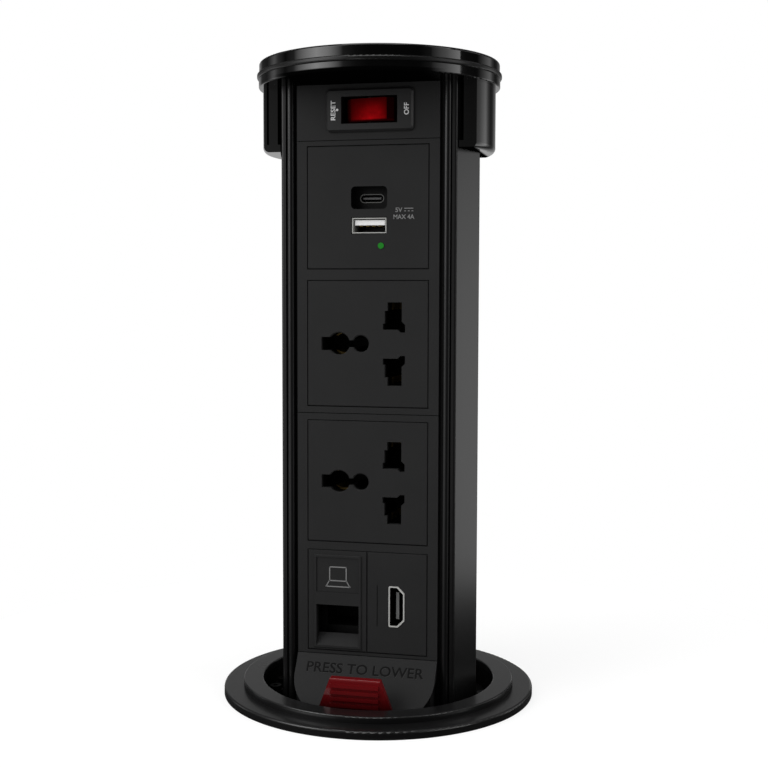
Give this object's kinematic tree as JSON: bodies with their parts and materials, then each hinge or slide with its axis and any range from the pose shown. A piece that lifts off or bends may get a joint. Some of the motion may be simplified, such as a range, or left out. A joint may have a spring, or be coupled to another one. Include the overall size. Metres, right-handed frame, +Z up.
{
  "type": "pop up desk socket",
  "caption": "Round flush-mounted desk socket tower that rises through a flanged bore, with universal mains outlets, charging and data ports, a red switch and a red release button.",
  "frame": {"origin": "On the axis of the bore, in the plane of the flange's underside, which rests on the desk.", "axes": "+Z is up out of the desk, along the tower's travel; the front of the tower with its ports faces -Y; +X is to the right of someone facing the ports."},
  "size_m": [0.117, 0.117, 0.5214],
  "materials": {
    "satin_black": "satin",
    "gloss_black": "gloss",
    "dark_insulator": "matte",
    "red_lens": "translucent red",
    "red_plastic": "satin red",
    "rubber": "matte",
    "steel": "zinc plated",
    "nickel": "nickel plated shells",
    "brass": "plain brass",
    "board_green": "circuit board",
    "white_insulator": "white tongue",
    "green_light": "light pipe"
  },
  "bodies": {
    "housing": {"desk_flange": "satin_black", "trim_ring": "gloss_black", "flange_gasket": "rubber", "outer_sleeve": "satin_black", "rise_stop": "satin_black", "clamp_screws": "steel", "sleeve_end_cap": "satin_black", "end_cap_screws": "steel", "landing_pad": "rubber", "cable_gland": "dark_insulator", "gland_nut": "dark_insulator"},
    "tower": {"tower_shell": "satin_black", "shell_screws": "steel", "tower_foot": "satin_black", "foot_screws": "steel", "foot_base_plate": "dark_insulator", "base_plate_screws": "steel", "release_bezel": "satin_black", "button_spring": "steel", "latch_springs": "steel", "switch_panel": "satin_black", "upper_front_panel": "satin_black", "lower_front_panel": "satin_black", "switch_bezel": "satin_black", "switch_body": "dark_insulator", "usb_module_face": "satin_black", "usb_module_case": "dark_insulator", "usb_circuit_board": "board_green", "usb_c_shell": "nickel", "usb_c_tongue": "dark_insulator", "usb_a_shell": "nickel", "usb_a_tongue": "white_insulator", "usb_a_contacts": "brass", "status_led": "green_light", "socket_face_upper": "satin_black", "socket_body_upper": "dark_insulator", "socket_contacts_upper": "brass", "socket_face_lower": "satin_black", "socket_body_lower": "dark_insulator", "socket_contacts_lower": "brass", "data_module_frame": "satin_black", "data_icon_plate": "satin_black", "data_jack": "dark_insulator", "data_jack_contacts": "brass", "hdmi_module_face": "satin_black", "hdmi_shell": "nickel", "hdmi_tongue": "dark_insulator", "hdmi_body": "dark_insulator", "cap_collar": "satin_black", "cap_seal": "rubber", "top_cap": "gloss_black"},
    "button": {"release_button": "red_plastic"},
    "bolt_left": {"latch_bolt_left": "steel"},
    "bolt_right": {"latch_bolt_right": "steel"},
    "rocker": {"switch_rocker": "red_lens"},
    "nut_left": {"clamp_nut_left": "brass"},
    "nut_right": {"clamp_nut_right": "brass"},
    "dog_left": {"clamp_dog_left": "satin_black"},
    "dog_right": {"clamp_dog_right": "satin_black"}
  },
  "joints": [
    {"name": "tower_slide", "type": "slide", "parent": "housing", "child": "tower", "axis": [0, 0, 1], "range_m": [-0.2195, 0]},
    {"name": "release_press", "type": "slide", "parent": "tower", "child": "button", "axis": [0, 1, 0], "range_m": [0, 0.0035], "stiffness_N_per_m": 1400, "springref_m": -0.001, "deforming": ["button_spring"]},
    {"name": "latch_left_slide", "type": "slide", "parent": "tower", "child": "bolt_left", "axis": [1, 0, 0], "range_m": [0, 0.0028], "deforming": ["latch_springs"]},
    {"name": "latch_right_slide", "type": "slide", "parent": "tower", "child": "bolt_right", "axis": [-1, 0, 0], "range_m": [0, 0.0028], "deforming": ["latch_springs"]},
    {"name": "rocker_tilt", "type": "hinge", "parent": "tower", "child": "rocker", "pos_m": [0.00085, -0.017, 0.2158], "axis": [0, 0, 1], "range_deg": [0, 24]},
    {"name": "clamp_nut_left_slide", "type": "slide", "parent": "housing", "child": "nut_left", "axis": [0, 0, 1], "range_m": [0, 0.049]},
    {"name": "clamp_dog_left_swing", "type": "hinge", "parent": "nut_left", "child": "dog_left", "pos_m": [-0.0485, 0, -0.072], "axis": [0, 0, -1], "range_deg": [0, 95]},
    {"name": "clamp_nut_right_slide", "type": "slide", "parent": "housing", "child": "nut_right", "axis": [0, 0, 1], "range_m": [0, 0.049]},
    {"name": "clamp_dog_right_swing", "type": "hinge", "parent": "nut_right", "child": "dog_right", "pos_m": [0.0485, 0, -0.072], "axis": [0, 0, -1], "range_deg": [0, 95]}
  ],
  "couplings": [
    {"joint": "latch_left_slide", "follows": "release_press", "ratio": 0.8},
    {"joint": "latch_right_slide", "follows": "release_press", "ratio": 0.8}
  ]
}
